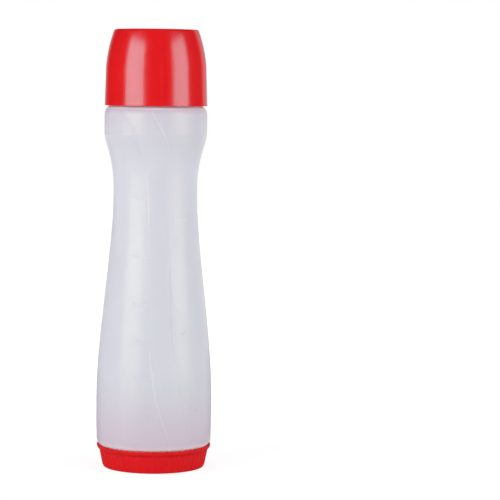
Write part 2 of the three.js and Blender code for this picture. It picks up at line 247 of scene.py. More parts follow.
# Seals
NECK_SEAL_WIDTH = 2.3
BASE_SEAL_WIDTH = 2.6

SIDES = 192
# The share of a corner at which a Bezier handle makes it about round
ROUND_HANDLE = 0.55


# Profiles
def bezier(a, b, c, d, steps):
    """Points of a cubic Bezier curve, with both of its ends."""
    points = []
    for i in range(steps + 1):
        t = i / steps
        weights = ((1 - t) ** 3, 3 * t * (1 - t) ** 2, 3 * t * t * (1 - t), t**3)
        points.append(tuple(sum(w * p[k] for w, p in zip(weights, (a, b, c, d))) for k in (0, 1)))
    return points


def joined(*stretches):
    """Stretches of a profile as one, without the points that two of them share."""
    points = []
    for point in (p for stretch in stretches for p in stretch):
        if not points or math.dist(points[-1][:2], point[:2]) > 1e-4:
            points.append(point)
    return points


def rounded(corners, steps=4):
    """A closed profile in which each corner written as (radius, height, size) is rounded off."""
    points = []
    for i, corner in enumerate(corners):
        if len(corner) == 2:
            points.append(corner)
            continue
        here = Vector(corner[:2])
        before = Vector(corners[i - 1][:2])
        after = Vector(corners[(i + 1) % len(corners)][:2])
        start = here + (before - here).normalized() * corner[2]
        end = here + (after - here).normalized() * corner[2]
        for k in range(steps + 1):
            t = k / steps
            points.append(tuple(start.lerp(here, t).lerp(here.lerp(end, t), t)))
    return points


def moved_in(profile, distance):
    """The profile moved to the left of its direction of travel, by a wall's thickness."""
    points = [Vector(p) for p in profile]
    result = []
    for i, p in enumerate(points):
        way_in = points[max(i, 1)] - points[max(i, 1) - 1]
        way_out = points[min(i, len(points) - 2) + 1] - points[min(i, len(points) - 2)]
        left_in = Vector((-way_in.y, way_in.x)).normalized()
        left_out = Vector((-way_out.y, way_out.x)).normalized()
        middle = (left_in + left_out).normalized()
        result.append(tuple(p + middle * (distance / middle.dot(left_in))))
    return result


def climb(radius, low, high, step):
    """An upright stretch of a profile, in steps of about the given size."""
    count = max(1, round((high - low) / step))
    return [(radius, low + (high - low) * i / count) for i in range(count + 1)]


# Meshes
def around(radius, degrees, height):
    angle = math.radians(degrees)
    return (radius * math.sin(angle) * MM, -radius * math.cos(angle) * MM, height * MM)


def even_angles(sides):
    return [360 * i / sides for i in range(sides)]


def rings_of(profile, angles, rise=None):
    """A ring of points for each point of the profile. angles is a list, or gives one for a height."""
    rings = []
    for radius, height in profile:
        if radius < 1e-4:
            rings.append([(0, 0, height * MM)])
            continue
        here = angles(height) if callable(angles) else angles
        extra = [rise(a, height, radius) if rise else 0 for a in here]
        rings.append([around(radius + e, a, height) for a, e in zip(here, extra)])
    return rings


def skin(name, rings, sharp=50):
    """A closed mesh through the rings, the last joined to the first. A ring of one point is a pole."""
    points, starts, faces = [], [], []
    for ring in rings:
        starts.append(len(points))
        points.extend(ring)
    for this, following in zip(range(len(rings)), [*range(1, len(rings)), 0]):
        here, there = len(rings[this]), len(rings[following])
        count = max(here, there)
        for i in range(count if count > 1 else 0):
            j = (i + 1) % count
            corners = [starts[this] + i % here, starts[this] + j % here]
            corners += [starts[following] + j % there, starts[following] + i % there]
            faces.append(list(dict.fromkeys(corners)))
    mesh = bpy.data.meshes.new(name)
    mesh.from_pydata(points, [], faces)
    return placed(name, mesh, sharp)


def placed(name, mesh, sharp=50):
    """A smooth object for the mesh, which stays sharp where its faces meet at more than sharp degrees."""
    mesh.validate()
    mesh.shade_smooth()
    mesh.set_sharp_from_angle(angle=math.radians(sharp))
    piece = bpy.data.objects.new(name, mesh)
    bpy.context.scene.collection.objects.link(piece)
    return piece


def even_normals(piece):
    """Keeps flat faces flat next to their rounded edges."""
    modifier = piece.modifiers.new("even_normals", "WEIGHTED_NORMAL")
    modifier.keep_sharp = True
    modifier.weight = 80
    return piece


def fitted(piece, body, slot, finish, *nodes):
    """Gives the piece its finish and body, and lets it stand for its CAD nodes."""
    piece.data.materials.clear()
    piece.data.materials.append(finish)
    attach(piece, body)
    if nodes:
        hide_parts(*nodes)
    return piece


def smoothstep(x):
    x = min(1, max(0, x))
    return x * x * (3 - 2 * x)


def thread_rise(thread, degrees, height, lift=0):
    """How far the screw thread's ridge stands out of its wall here. lift moves the ridge up."""
    foot = thread["width"] / 2
    crest = foot * THREAD_CREST
    best = 0
    turn = (degrees % 360) / 360
    while turn <= thread["turns"]:
        share = turn / thread["turns"]
        fade = min(1, share / THREAD_RUN_OUT, (1 - share) / THREAD_RUN_OUT)
        away = abs(height - thread["start"] - lift - thread["pitch"] * turn)
        best = max(best, smoothstep((foot - away) / (foot - crest)) * fade)
        turn += 1
    return best * thread["rise"]


# Bottle
def spline_route(points, steps=16):
    """Points of a Catmull-Rom curve through the given ones."""
    route = []
    for i in range(len(points) - 1):
        a, b = points[max(i - 1, 0)], points[i]
        c, d = points[i + 1], points[min(i + 2, len(points) - 1)]
        for k in range(steps):
            t = k / steps
            weights = (
                (-t + 2 * t**2 - t**3) / 2,
                (2 - 5 * t**2 + 3 * t**3) / 2,
                (t + 4 * t**2 - 3 * t**3) / 2,
                (t**3 - t**2) / 2,
            )
            route.append(tuple(sum(w * p[j] for w, p in zip(weights, (a, b, c, d))) for j in (0, 1)))
    route.append(points[-1])
    return route


def along(route, share):
    """The second value of a route of points where its first value is share."""
    if share <= route[0][0]:
        return route[0][1]
    for low, high in zip(route, route[1:]):
        if share <= high[0]:
            return low[1] + (high[1] - low[1]) * (share - low[0]) / (high[0] - low[0])
    return route[-1][1]


LEFT_ROUTE = spline_route(LEFT_LINE)
RIGHT_ROUTE = spline_route(RIGHT_LINE)


def bottle_outside():
    """The outer profile from the rim of the wide mouth to the rim of the neck."""
    edge = (BAND_RADIUS - BAND_EDGE_DROP, BAND_BOTTOM - BAND_EDGE_SHARE * WAIST_TO_BAND)
    crease = (BAND_RADIUS - CREASE_INSET, BAND_BOTTOM - BAND_CREASE)
    to_crease = crease[1] - edge[1]
    return joined(
        climb(MOUTH_RADIUS, MOUTH_RIM + RIM_ROUND, SHELF, THREAD_STEP),
        heel_profile(14),
        bezier(
            (HEEL_RADIUS, HEEL_TOP),
            (BELLY_RADIUS, HEEL_TOP + HEEL_TO_BELLY / 3),
            (BELLY_RADIUS, BELLY - HEEL_TO_BELLY / 3),
            (BELLY_RADIUS, BELLY),
            12,
        ),
        bezier(
            (BELLY_RADIUS, BELLY),
            (BELLY_RADIUS, BELLY + BELLY_HANDLE * BELLY_TO_WAIST),
            (WAIST_RADIUS, WAIST - WAIST_HANDLE * BELLY_TO_WAIST),
            (WAIST_RADIUS, WAIST),
            64,
        ),
        bezier(
            (WAIST_RADIUS, WAIST),
            (WAIST_RADIUS, WAIST + WAIST_TOP_HANDLE * WAIST_TO_BAND),
            (edge[0] - BAND_EDGE_LEAN, edge[1] - BAND_EDGE_HANDLE * WAIST_TO_BAND),
            edge,
            32,
        ),
        bezier(
            edge,
            (edge[0] + 0.35, edge[1] + to_crease / 3),
            (crease[0] - 0.24, crease[1] - to_crease / 3),
            (crease[0] - 0.16 * CREASE_HALF, crease[1] - CREASE_HALF),
            8,
        ),
        [crease, (crease[0], crease[1] + CREASE_HALF)],
        bezier(
            (crease[0], crease[1] + CREASE_HALF),
            (crease[0] + 0.04, crease[1] + BAND_CREASE / 3),
            (BAND_RADIUS, BAND_BOTTOM - BAND_CREASE / 3),
            (BAND_RADIUS, BAND_BOTTOM),
            6,
        ),
        climb(BAND_RADIUS, BAND_BOTTOM, BAND_TOP, 1),
        bezier(
            (BAND_RADIUS, BAND_TOP),
            (BAND_RADIUS, BAND_TOP + SHOULDER_HANDLE * SHOULDER_RISE),
            (BAND_RADIUS - SHOULDER_REACH, NECK_FOOT),
            (NECK_RADIUS, NECK_FOOT),
            20,
        ),
        climb(NECK_RADIUS, NECK_FOOT, NECK_TOP - RIM_ROUND, THREAD_STEP),
    )


def heel_profile(steps):
    return bezier(
        (MOUTH_RADIUS, SHELF),
        (HEEL_RADIUS - HEEL_REACH, SHELF),
        (HEEL_RADIUS - HEEL_REACH / 4, HEEL_TOP - HEEL_HANDLE * HEEL_RISE),
        (HEEL_RADIUS, HEEL_TOP),
        steps,
    )


BOTTLE_OUTSIDE = bottle_outside()
BOTTLE_BODY = [(z, r) for r, z in BOTTLE_OUTSIDE if HEEL_TOP <= z <= BAND_TOP]


def bottle_radius(height):
    """The bottle's outer radius at a height between its heel and the top of its band."""
    return along(BOTTLE_BODY, height)


def line_angles(height):
    """Where the two raised lines are at this height, in degrees."""
    share = (height - HEEL_TOP) / (BAND_TOP - HEEL_TOP)
    return along(LEFT_ROUTE, share), along(RIGHT_ROUTE, share)


def bottle_angles(height):
    """Columns of points that follow the raised lines, close together across each line."""
    left, right = line_angles(height)
    to_degrees = math.degrees(1 / bottle_radius(height))
    columns = [left + x * to_degrees for x in LINE_COLUMNS]
    margin = LINE_COLUMNS[-1] * to_degrees
    columns += spread(left + margin, right - margin, COLUMNS_BETWEEN)
    columns += [right + x * to_degrees for x in LINE_COLUMNS]
    columns += spread(right + margin, left - margin + 360, COLUMNS_BEHIND)
    return columns


def spread(start, end, count):
    """Values evenly between start and end, without the two ends."""
    return [start + (end - start) * (i + 1) / (count + 1) for i in range(count)]


def bottle_rise(degrees, height, radius):
    """What stands out of the bottle's wall: the raised lines on its body, and its two screw threads."""
    if height < SHELF:
        return thread_rise(MOUTH_THREAD, degrees, height)
    if height > NECK_FOOT:
        return thread_rise(NECK_THREAD, degrees, height)
    if height > LINE_TOP:
        return 0
    fade = smoothstep((height - SHELF) / LINE_FADE) * smoothstep((LINE_TOP - height) / LINE_FADE * 2)
    share = (height - HEEL_TOP) / (BAND_TOP - HEEL_TOP)
    rise = 0
    for angle, levels in zip(line_angles(height), (LEFT_LEVELS, RIGHT_LEVELS)):
        across = math.radians((degrees - angle + 180) % 360 - 180) * radius / LINE_HALF_WIDTH
        if abs(across) < 1:
            rise += (1 - abs(across)) * along(levels, share)
    return rise * fade * LINE_HEIGHT


def make_bottle(finish):
    inside = moved_in(BOTTLE_OUTSIDE, BOTTLE_WALL)[::-1]
    coarse = [p for i, p in enumerate(inside) if i % 2 == 0 or HEEL_TOP < p[1] < BAND_TOP]
    neck_rim = rounded(
        [
            (NECK_RADIUS, NECK_TOP - 1),
            (NECK_RADIUS, NECK_TOP, RIM_ROUND),
            (NECK_RADIUS - BOTTLE_WALL, NECK_TOP, RIM_ROUND),
            (NECK_RADIUS - BOTTLE_WALL, NECK_TOP - 1),
        ]
    )[1:-1]
    mouth_rim = rounded(
        [
            (MOUTH_RADIUS - BOTTLE_WALL, MOUTH_RIM + 1),
            (MOUTH_RADIUS - BOTTLE_WALL, MOUTH_RIM, RIM_ROUND),
            (MOUTH_RADIUS, MOUTH_RIM, RIM_ROUND),
            (MOUTH_RADIUS, MOUTH_RIM + 1),
        ]
    )[1:-1]
    low, high = MOUTH_RIM + RIM_ROUND + 0.1, NECK_TOP - RIM_ROUND - 0.1
    rings = rings_of([p for p in BOTTLE_OUTSIDE if low < p[1] < high], bottle_angles, bottle_rise)
    rings += rings_of(neck_rim, bottle_angles)
    rings += rings_of([p for p in coarse if low < p[1] < high], bottle_angles)
    rings += rings_of(mouth_rim, bottle_angles)
    return fitted(skin("bottle_shell", rings), "bottle", "milky_plastic", finish, "bottle")


def figures_mesh(text):
    """The figures of one mark as a flat solid, in the font's own units."""
    curve = bpy.data.curves.new("figures", "FONT")
    curve.body = text
    curve.extrude = 0.1
    curve.resolution_u = 3
    letters = bpy.data.objects.new("figures", curve)
    bpy.context.scene.collection.objects.link(letters)
    bpy.context.view_layer.update()
    mesh = bpy.data.meshes.new_from_object(letters.evaluated_get(bpy.context.evaluated_depsgraph_get()))
    bpy.data.objects.remove(letters)
    bpy.data.curves.remove(curve)
    return mesh


def mark_points(text, height, left):
    """Vertices and faces of one mark on the bottle's wall: a dash and the figures, upside down."""
    mesh = figures_mesh(text)
    low = [min(v.co[k] for v in mesh.vertices) for k in (0, 1)]
    high = [max(v.co[k] for v in mesh.vertices) for k in (0, 1)]
    width = FIGURE_WIDTH * len(text)
    squeeze = width / (high[0] - low[0])
    scale = FIGURE_HEIGHT / (high[1] - low[1])
    offset = MARK_GAP + DASH_LENGTH + DASH_TO_FIGURES
    flat = []
    for v in mesh.vertices:
        x = (v.co.x - low[0]) * squeeze
        y = -(v.co.y - (low[1] + high[1]) / 2) * scale
        side = -offset - x if left else offset + width - x
        flat.append((side, y, v.co.z > 0))
    faces = [list(p.vertices) for p in mesh.polygons]
    bpy.data.meshes.remove(mesh)
    near, far = MARK_GAP, MARK_GAP + DASH_LENGTH
    sign = -1 if left else 1
    base = len(flat)
    for out in (False, True):
        for x, y in ((near, -1), (far, -1), (far, 1), (near, 1)):
            flat.append((sign * x, y * DASH_WIDTH / 2, out))
    for face in BOX_FACES:
        faces.append([base + i for i in (face if not left else face[::-1])])
    line = line_angles(height)[0 if left else 1]
    points = []
    for side, up, out in flat:
        radius = bottle_radius(height + up)
        degrees = line + math.degrees(side / radius)
        points.append(around(radius + (MARK_RISE if out else -MARK_SINK), degrees, height + up))
    return points, faces


def make_marks(finish):
    points, faces = [], []
    marks = [(*m, True) for m in LEFT_MARKS] + [(*m, False) for m in RIGHT_MARKS]
    for text, height, left in marks:
        more, more_faces = mark_points(text, height, left)
        faces += [[len(points) + i for i in face] for face in more_faces]
        points += more
    mesh = bpy.data.meshes.new("volume_marks")
    mesh.from_pydata(points, [], faces)
    tidy = bmesh.new()
    tidy.from_mesh(mesh)
    bmesh.ops.remove_doubles(tidy, verts=tidy.verts, dist=0.002 * MM)
    bmesh.ops.recalc_face_normals(tidy, faces=tidy.faces)
    tidy.to_mesh(mesh)
    tidy.free()
    return fitted(placed("volume_marks", mesh, 30), "bottle", "milky_plastic", finish)


# Base cap
def base_angles():
    """Columns of points on the base cap, close together across each rib."""
    angles = []
    to_degrees = math.degrees(1 / BASE_WALL_TOP_RADIUS)
    step = 360 / RIB_COUNT
    margin = RIB_COLUMNS[-1] * to_degrees
    for i in range(RIB_COUNT):
        angles += [step * i + x * to_degrees for x in RIB_COLUMNS]
        angles += spread(step * i + margin, step * (i + 1) - margin, RIB_GAP_COLUMNS)
    return angles


def rib_rise(wall_top):
    """The upright ribs on the base cap's wall, as a function of the place on it."""

    def rise(degrees, height, radius):
        ends = smoothstep((height - BASE_CORNER) / RIB_END)
        step = 360 / RIB_COUNT
        away = abs((degrees + step / 2) % step - step / 2)
        across = math.radians(away) * BASE_WALL_TOP_RADIUS / RIB_COLUMNS[-1]
        return RIB_HEIGHT * ends * max(0, 1 - across**2) ** 1.5

    return rise


def bore_thread_rise(thread, lift):
    """The ridge inside a cap that stands inwards and runs half a pitch from the bottle's own."""

    def rise(degrees, height, radius):
        return -thread_rise(thread, degrees, height, lift)

    return rise


def tooth(degrees):
    """1 in the middle of a small tooth on the lip's inner edge and 0 between two. There is one to a rib."""
    step = 360 / RIB_COUNT
    away = abs((degrees + step / 2) % step - step / 2) / (step / 2)
    return 1 - smoothstep(away / TOOTH_SHARE)


def tooth_rise(degrees, height, radius):
    return -TOOTH_HEIGHT * tooth(degrees)


def toothed(ring, angles, share):
    """The ring with its points between the teeth let down by a share of TOOTH_DIP."""
    drops = [TOOTH_DIP * share * (1 - tooth(a)) * MM for a in angles]
    return [(x, y, z - drop) for (x, y, z), drop in zip(ring, drops)]


def make_base_cap(finish):
    wall_top = LIP_TOP - BASE_LIP_DROP
    foot_radius = BASE_WALL_BOTTOM_RADIUS - BASE_CORNER
    foot_inside = foot_radius - BASE_FOOT_WIDTH
    floor_top = FOOT + BASE_FOOT_RECESS + BASE_FLOOR
    angles = base_angles()
    under = rounded(
        [
            (0, BASE_FOOT_RECESS),
            (foot_inside, BASE_FOOT_RECESS, 0.4),
            (foot_inside, FOOT, 0.3),
            (foot_radius, FOOT),
            (BASE_WALL_BOTTOM_RADIUS, FOOT),
        ]
    )[:-1]
    corner = bezier(
        (foot_radius, FOOT),
        (foot_radius + BASE_CORNER * ROUND_HANDLE, FOOT),
        (BASE_WALL_BOTTOM_RADIUS, FOOT + BASE_CORNER * (1 - ROUND_HANDLE)),
        (BASE_WALL_BOTTOM_RADIUS, FOOT + BASE_CORNER),
        5,
    )
    taper = BASE_WALL_TOP_RADIUS - BASE_WALL_BOTTOM_RADIUS
    wall = []
    for i in range(WALL_STEPS + 1):
        t = i / WALL_STEPS
        wall.append((BASE_WALL_BOTTOM_RADIUS + taper * t, BASE_CORNER + (wall_top - BASE_CORNER) * t))
    lip = bezier(
        (BASE_WALL_TOP_RADIUS, wall_top),
        (BASE_LIP_RADIUS + BASE_LIP_ROLL, wall_top + BASE_LIP_DROP / 4),
        (BASE_LIP_RADIUS + BASE_LIP_ROLL, LIP_TOP),
        (BASE_LIP_RADIUS - BASE_LIP_EDGE / 2, LIP_TOP),
        16,
    )
    heel = moved_in(heel_profile(20), -SIDE_GAP)[::-1]
    bowl = [p for p in heel if p[0] > BASE_BORE and p[1] < LIP_TOP - BOWL_DROP]
    bowl[0] = (bowl[0][0] - LIP_CLOSE, bowl[0][1])
    bore = climb(BASE_BORE, floor_top + 0.3, SHELF - SIDE_GAP, 0.4)[::-1]
    rings = rings_of(joined(under, corner), angles)
    rings += rings_of(wall[1:], angles, rib_rise(wall_top))
    rings += rings_of(lip[1:-3], angles)
    edge = rings_of(lip[-3:], angles)
    inside = (bowl[0][0] + LIP_INSIDE_STEP, LIP_TOP - LIP_INSIDE_DROP)
    edge += rings_of([inside, bowl[0]], angles, tooth_rise)
    rings += [toothed(ring, angles, share) for ring, share in zip(edge, TOOTH_SHARES)]
    rings += rings_of(bowl[1:], angles)
    rings += rings_of(bore, angles, bore_thread_rise(MOUTH_THREAD, MOUTH_THREAD["pitch"] / 2))
    rings += rings_of([(BASE_BORE - 0.3, floor_top), (BASE_BORE * 0.6, floor_top), (0, floor_top)], angles)
    piece = even_normals(skin("base_cup", rings, 60))
    return fitted(piece, "base_cap", "red_plastic", finish, "base_cap")


# Seals, collar, valve and retainer
def make_ring(name, node, width, edge, finish, slot, body):
    """A ring with rounded edges in the place of its CAD node."""
    outer, bottom, top = reach(node)
    inner = outer - width
    profile = rounded(
        [(inner, bottom, edge), (outer, bottom, edge), (outer, top, edge), (inner, top, edge)]
    )
    piece = even_normals(skin(name, rings_of(profile, even_angles(SIDES))))
    return fitted(piece, body, slot, finish, node)


def grip_rise(degrees, height, radius):
    """Shallow upright grooves round the collar's skirt."""
    step = 360 / GRIP_COUNT
    away = abs((degrees + step / 2) % step - step / 2) / (step / 2)
    return -GRIP_DEPTH * smoothstep((away - GRIP_FLAT) / (1 - GRIP_FLAT))


def make_collar(finish):
    bore = NECK_RADIUS + NECK_THREAD["rise"] + SIDE_GAP
    skirt = bore + COLLAR_WALL
    flange_top = FLANGE_BOTTOM + FLANGE_THICKNESS
    deck_top = SPOUT_TIP - SPOUT_RISE
    deck_bottom = deck_top - DECK_THICKNESS
    seat_bore = VALVE_RADIUS + SEAT_GAP
    valve_seat = VALVE_TOP - VALVE_FLANGE - SEAT_GAP
    angles = even_angles(GRIP_COUNT * 4)
    flange = rounded(
        [
            (bore, FLANGE_BOTTOM, 0.3),
            (FLANGE_RADIUS, FLANGE_BOTTOM, 0.4),
            (FLANGE_RADIUS, flange_top, 0.4),
            (skirt, flange_top, 0.5),
            (skirt, deck_top),
        ]
    )[:-1]
    skirt_wall = climb(skirt, flange_top + 1, deck_top - COLLAR_WALL / 2 - 0.6, 1)
    head = rounded(
        [
            (skirt, flange_top),
            (skirt, deck_top - COLLAR_WALL / 2, 0.5),
            (skirt - COLLAR_WALL / 2, deck_top, 0.5),
            (SPOUT_FOOT_RADIUS, deck_top, 0.8),
            (SPOUT_TIP_RADIUS, valve_seat, 0.8),
            (SPOUT_TIP_RADIUS, SPOUT_TIP, 0.6),
            (seat_bore, SPOUT_TIP, 0.3),
            (seat_bore, valve_seat),
            (SPOUT_BORE, valve_seat, 0.3),
            (SPOUT_BORE, valve_seat - SPOUT_WALL, 0.5),
            (SPOUT_FOOT_RADIUS - SPOUT_WALL, deck_bottom, 0.5),
            (bore, deck_bottom),
        ]
    )[1:]
    thread_wall = climb(bore, FLANGE_BOTTOM + 0.4, deck_bottom - 0.3, THREAD_STEP)[::-1]
    rings = rings_of(flange, angles)
    rings += rings_of(skirt_wall, angles, grip_rise)
    rings += rings_of(head, angles)
    rings += rings_of(thread_wall, angles, bore_thread_rise(NECK_THREAD, -NECK_THREAD["pitch"] / 2))
    piece = even_normals(skin("spout_collar", rings))
    return fitted(piece, "nozzle_collar", "white_plastic", finish, "nozzle_collar")


def make_valve(finish):
    bottom = VALVE_TOP - VALVE_FLANGE
    skin_radius = SPOUT_BORE - SIDE_GAP
    underside = bezier(
        (skin_radius, bottom),
        (skin_radius, bottom - VALVE_DIP),
        (skin_radius / 2, bottom - VALVE_DIP),
        (0, bottom - VALVE_DIP),
        12,
    )[::-1]
    shrink = 1 - VALVE_SKIN / skin_radius
    upperside = [(r * shrink, z + VALVE_SKIN) for r, z in underside]
    rim = rounded(
        [
            (skin_radius, bottom),
            (VALVE_RADIUS, bottom, 0.3),
            (VALVE_RADIUS, VALVE_TOP, 0.3),
            (upperside[-1][0], VALVE_TOP, 0.3),
            upperside[-1],
        ]
    )[1:-1]
    profile = [*underside, *rim, *upperside[::-1]]
    valve = skin("slit_valve", rings_of(profile, even_angles(96)))
    cutters = []
    for x, y in ((SLIT_LENGTH, SLIT_WIDTH), (SLIT_WIDTH, SLIT_LENGTH)):
        cutters.append(box_piece("slit", x, y, 4 * VALVE_DIP, bottom))
    for cutter in cutters:
        cut = valve.modifiers.new("slit", "BOOLEAN")
        cut.operation = "DIFFERENCE"
        cut.object = cutter
    bpy.context.view_layer.update()
    shown = valve.evaluated_get(bpy.context.evaluated_depsgraph_get())
    mesh = bpy.data.meshes.new_from_object(shown)
    for old in [valve, *cutters]:
        bpy.data.objects.remove(old)
    return fitted(placed("slit_valve", mesh), "nozzle_collar", "silicone", finish, "valve")


def box_piece(name, x, y, z, height):
    """A plain box round the axis, used as a cutter."""
    mesh = bpy.data.meshes.new(name)
    form = bmesh.new()
    bmesh.ops.create_cube(form, size=1)
    for vertex in form.verts:
        vertex.co = (vertex.co.x * x * MM, vertex.co.y * y * MM, (vertex.co.z * z + height) * MM)
    form.to_mesh(mesh)
    form.free()
    piece = bpy.data.objects.new(name, mesh)
    bpy.context.scene.collection.objects.link(piece)
    return piece


# Overcap
def make_overcap(finish):
    dome = bezier(
        (OVERCAP_SIDE_RADIUS, OVERCAP_SIDE),
        (OVERCAP_SIDE_RADIUS, OVERCAP_SIDE + OVERCAP_DOME / 4),
        (OVERCAP_BROW_RADIUS + BROW_REACH, OVERCAP_BROW - BROW_HANDLE * OVERCAP_DOME),
        (OVERCAP_BROW_RADIUS, OVERCAP_BROW),
        32,
    )
    corner = OVERCAP_TOP - OVERCAP_BROW
    brow = bezier(
        (OVERCAP_BROW_RADIUS, OVERCAP_BROW),
        (OVERCAP_BROW_RADIUS - BROW_LEAN / 2 * corner, OVERCAP_BROW + ROUND_HANDLE * corner),
        (OVERCAP_BROW_RADIUS - BROW_LEAN * corner, OVERCAP_TOP),
        (OVERCAP_BROW_RADIUS - corner, OVERCAP_TOP),
        8,
    )
    lean = (OVERCAP_EDGE_RADIUS - OVERCAP_SIDE_RADIUS) / (OVERCAP_SIDE - OVERCAP_EDGE)
    side = [(OVERCAP_EDGE_RADIUS - lean * h, OVERCAP_EDGE + h) for h in range(1, 23)]
    edge = rounded(
        [
            (OVERCAP_EDGE_RADIUS - OVERCAP_WALL, OVERCAP_EDGE + 2),
            (OVERCAP_EDGE_RADIUS - OVERCAP_WALL, OVERCAP_EDGE, 0.5),
            (OVERCAP_EDGE_RADIUS, OVERCAP_EDGE, 0.4),
            side[1],
        ]
    )[1:-1]
    top_disc = [(r, OVERCAP_TOP) for r in (OVERCAP_BROW_RADIUS - 4, 14, 5)] + [(0, OVERCAP_TOP)]
    outer = joined(side, dome, brow, top_disc)
    wall = moved_in(joined([(OVERCAP_EDGE_RADIUS, OVERCAP_EDGE)], dome), OVERCAP_WALL)
    stop_bottom = OVERCAP_EDGE + SKIRT_DROP
    stop_top = stop_bottom + STOP_HEIGHT
    inner_radius = OVERCAP_EDGE_RADIUS - OVERCAP_WALL
    stop = rounded(
        [
            (inner_radius, OVERCAP_EDGE + 2),
            (inner_radius - lean * SKIRT_DROP, stop_bottom),
            (inner_radius - STOP_WIDTH, stop_bottom, 0.2),
            (inner_radius - STOP_WIDTH, stop_top, 0.2),
            (inner_radius - lean * (SKIRT_DROP + STOP_HEIGHT), stop_top),
            (inner_radius, OVERCAP_SIDE),
        ]
    )[1:-1]
    ceiling = OVERCAP_TOP - OVERCAP_WALL
    inner = [p for p in wall if stop_top + 1 < p[1] < OVERCAP_TOP - 2 * OVERCAP_WALL]
    inner += rounded(
        [inner[-1], (OVERCAP_BROW_RADIUS - 2 * OVERCAP_WALL, ceiling, 1.2), (5, ceiling), (0, ceiling)]
    )[1:]
    profile = [*outer, *(stop + inner)[::-1], *edge]
    piece = even_normals(skin("dome_overcap", rings_of(profile, even_angles(SIDES))))
    return fitted(piece, "overcap", "red_plastic", finish, "overcap")


# Finishes
class Finish:
    """A material with a Principled shader, and short ways to add nodes to it."""

    def __init__(self, name, **values):
        self.material = bpy.data.materials.new(name)
        self.material.use_nodes = True
        self.tree = self.material.node_tree
        self.shader = self.tree.nodes["Principled BSDF"]
        for socket, value in values.items():
            self.shader.inputs[socket.replace("_", " ")].default_value = value

    def node(self, kind, **inputs):
        node = self.tree.nodes.new(kind)
        for socket, value in inputs.items():
            node.inputs[socket.replace("_", " ")].default_value = value
        return node

    def link(self, source, target):
        self.tree.links.new(source, target)

    def place(self):
        """The place on the object, in metres."""
        return self.node("ShaderNodeTexCoord").outputs["Object"]

    def noise(self, size, detail=3, stretch=1, roughness=0.5):
        """Noise with features of about size millimetres, drawn out along the height by stretch."""
        mapping = self.node("ShaderNodeMapping", Scale=(1, 1, 1 / stretch))
        noise = self.node("ShaderNodeTexNoise", Scale=1 / (size * MM), Detail=detail, Roughness=roughness)
        self.link(self.place(), mapping.inputs["Vector"])
        self.link(mapping.outputs["Vector"], noise.inputs["Vector"])
        return noise.outputs["Fac"]

    def spread(self, value, low, high, start=0.3, end=0.7):
        """The value, from start to end, mapped to low and high."""
        node = self.node("ShaderNodeMapRange", From_Min=start, From_Max=end, To_Min=low, To_Max=high)
        self.link(value, node.inputs["Value"])
        return node.outputs["Result"]

    def blend(self, share, first, second):
        """A colour between two, each a colour or a socket."""
        node = self.node("ShaderNodeMix")
        node.data_type = "RGBA"
        self.link(share, node.inputs[0])
        for value, socket in ((first, node.inputs[6]), (second, node.inputs[7])):
            if isinstance(value, tuple):
                socket.default_value = (*value, 1)
            else:
                self.link(value, socket)
        return node.outputs[2]

    def height(self, low, high):
        """0 at the height low and 1 at high, in millimetres, with soft ends."""
        parts = self.node("ShaderNodeSeparateXYZ")
        self.link(self.place(), parts.inputs[0])
        node = self.node("ShaderNodeMapRange", From_Min=low * MM, From_Max=high * MM)
        node.interpolation_type = "SMOOTHSTEP"
        self.link(parts.outputs["Z"], node.inputs["Value"])
        return node.outputs["Result"]

    def bump(self, *layers):
        """Adds fine relief: each layer is a value and its depth in millimetres."""
        normal = None
        for value, depth in layers:
            node = self.node("ShaderNodeBump", Distance=depth * MM, Strength=1.0)
            self.link(value, node.inputs["Height"])
            if normal:
                self.link(normal, node.inputs["Normal"])
            normal = node.outputs["Normal"]
        self.link(normal, self.shader.inputs["Normal"])


# Painted light on the milky body, each part between two heights: pink light from the red caps painted near
# each cap, painted shade with pink light just above the band, and a pale painted glow that lifts the shade
# at the heel and under the overcap's edge
MILKY = (0.68, 0.69, 0.78)
MILKY_THIN = (0.7, 0.71, 0.8)
# Painted pink light from the red base cap
MILKY_PAINTED_BASE_GLOW = (0.665, 0.565, 0.67)
# Painted pink light from the red overcap
MILKY_PAINTED_CAP_GLOW = (0.635, 0.6, 0.685)
# Painted glow, pale pink, that lifts the shade in the gaps at the heel and under the overcap's edge
MILKY_PAINTED_GAP_GLOW = (0.95, 0.79, 0.87)
# Painted shade with pink light from the overcap, just above the band
MILKY_PAINTED_SHOULDER_GLOW = (0.63, 0.535, 0.67)
MILKY_COLOURS = (MILKY, MILKY_THIN, MILKY_PAINTED_BASE_GLOW, MILKY_PAINTED_CAP_GLOW, MILKY_PAINTED_GAP_GLOW, MILKY_PAINTED_SHOULDER_GLOW)
OVERCAP_FINISH = {
    "colour": (0.76, 0.004, 0.006),
    "deep": (0.72, 0.003, 0.005),
    "rough": 0.19,
    "ior": 1.83,
    "depth": 0.004,
}
BASE_FINISH = {
    "colour": (0.76, 0.005, 0.008),
    "deep": (0.72, 0.004, 0.007),
    "rough": 0.36,
    "ior": 1.33,
    "depth": 0.003,
}
GLOSS_TINT = (0.2, 0.92, 1.0, 1.0)
WHITE = (0.84, 0.84, 0.82)
WHITE_CLOUD = (0.88, 0.88, 0.87)
SILICONE = (0.74, 0.75, 0.74)
SILICONE_CLOUD = (0.8, 0.81, 0.8)
# Heights over which the painted pink light from the base cap fades out upwards
PAINTED_BASE_GLOW_SPAN = (12, 70)
# Heights over which the painted glow at the heel gives way to the base cap's painted pink light
PAINTED_HEEL_GLOW_SPAN = (SHELF + 2, SHELF + 6)
# Heights over which the painted pink light from the overcap fades in
PAINTED_CAP_GLOW_SPAN = (205, 250)
# Heights over which the painted shade and pink light above the band fade in
PAINTED_SHOULDER_GLOW_SPAN = (BAND_TOP + 1.5, BAND_TOP + 3.5)
